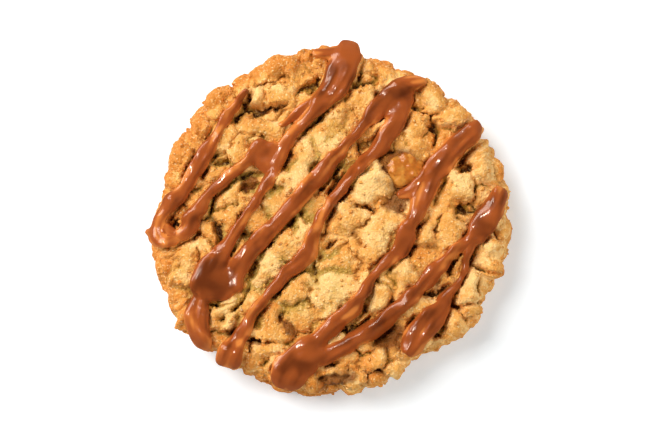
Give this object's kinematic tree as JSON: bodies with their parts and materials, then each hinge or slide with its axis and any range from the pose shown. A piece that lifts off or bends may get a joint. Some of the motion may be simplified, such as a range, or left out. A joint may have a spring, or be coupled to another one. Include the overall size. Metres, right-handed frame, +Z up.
{
  "type": "caramel apple cookie",
  "caption": "Thick round apple cookie with a craggy baked top and slanting strands of soft caramel drizzled over it.",
  "frame": {"origin": "centre of the flat underside, under the middle of the outline", "axes": "+Z up through the craggy top, +X to the right in the picture, +Y to its top edge"},
  "size_m": [0.0954, 0.0929, 0.017],
  "materials": {
    "baked_dough": "golden baked dough, matt and slightly grainy, with browner rim and darker gaps",
    "caramel": "set soft caramel, smooth and glossy, lighter where it is thin",
    "apple": "baked apple bits, moist and slightly translucent"
  },
  "bodies": {
    "root": {"cookie": "baked_dough"}
  },
  "joints": []
}
